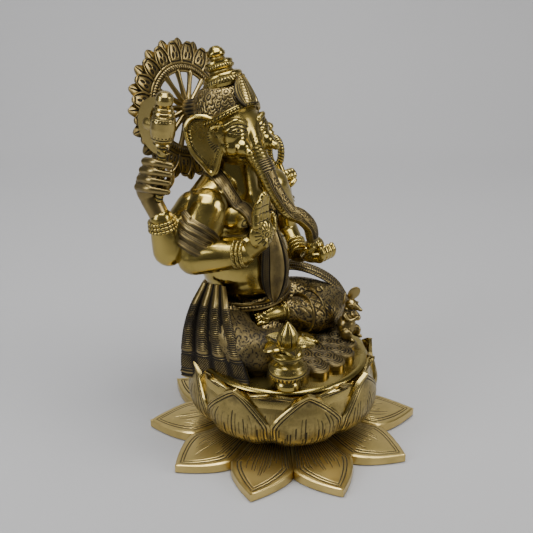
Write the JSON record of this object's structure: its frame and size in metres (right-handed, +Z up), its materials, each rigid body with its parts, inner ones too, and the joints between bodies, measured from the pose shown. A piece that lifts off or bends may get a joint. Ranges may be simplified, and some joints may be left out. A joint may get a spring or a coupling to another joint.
{
  "type": "hindu deity statue",
  "caption": "Seated elephant-headed deity in cast brass on a lotus, with a spoked halo behind the crown, a raised open palm, an axe, a noose, a sweet, an offering pot and a mouse.",
  "frame": {"origin": "on the plane the statue rests on, under the middle of its outline seen from above, 6.5 mm behind the middle of the lotus (the halo reaches further back than the lotus does)", "axes": "+Z up, the figure faces -Y, its left hand side is +X"},
  "size_m": [0.2118, 0.2235, 0.2937],
  "materials": {
    "polished_brass": "hand-polished cast brass, dark patina left in the recesses",
    "bright_brass": "brightly buffed cast brass, fine engraved lines",
    "aged_brass": "densely engraved cast brass, dark brown antique patina, high spots rubbed bright",
    "bolt_steel": "plain steel hardware, hidden under the base"
  },
  "bodies": {
    "root": {"axe_blade": "bright_brass", "axe_handle": "polished_brass", "axe_socket": "bright_brass", "collar_sash": "aged_brass", "crown_band": "polished_brass", "crown_crest": "polished_brass", "crown_dome": "aged_brass", "crown_finial": "polished_brass", "dhoti_seat": "aged_brass", "foot_mat": "aged_brass", "foot_plate": "bright_brass", "front_left_arm": "polished_brass", "front_left_bangles": "polished_brass", "front_left_hand": "polished_brass", "front_right_arm": "polished_brass", "front_right_bangles": "polished_brass", "front_right_hand": "polished_brass", "front_scarf": "aged_brass", "halo_hub": "aged_brass", "halo_leaves": "aged_brass", "halo_rope": "aged_brass", "halo_spokes": "aged_brass", "head": "polished_brass", "inner_petals": "polished_brass", "left_ear": "bright_brass", "left_foot": "polished_brass", "left_leg": "polished_brass", "left_sash": "aged_brass", "left_tusk": "polished_brass", "lotus_bowl": "polished_brass", "mouse_body": "polished_brass", "mouse_head": "polished_brass", "noose": "polished_brass", "outer_petals": "bright_brass", "pot_body": "polished_brass", "pot_coconut": "polished_brass", "pot_leaves": "polished_brass", "rear_left_arm": "polished_brass", "rear_left_bangles": "polished_brass", "rear_left_hand": "polished_brass", "rear_right_arm": "polished_brass", "rear_right_bangles": "polished_brass", "rear_right_hand": "polished_brass", "right_ear": "bright_brass", "right_foot": "polished_brass", "right_leg": "polished_brass", "right_sash": "aged_brass", "right_tusk": "polished_brass", "seat_disc": "bright_brass", "shin_hem": "aged_brass", "shoulder_shawl": "aged_brass", "sweet_bowl": "polished_brass", "tie_bolt": "bolt_steel", "tie_washer": "bolt_steel", "torso": "polished_brass", "trunk": "polished_brass", "trunk_plate": "aged_brass", "waist_belt": "aged_brass"}
  },
  "joints": []
}
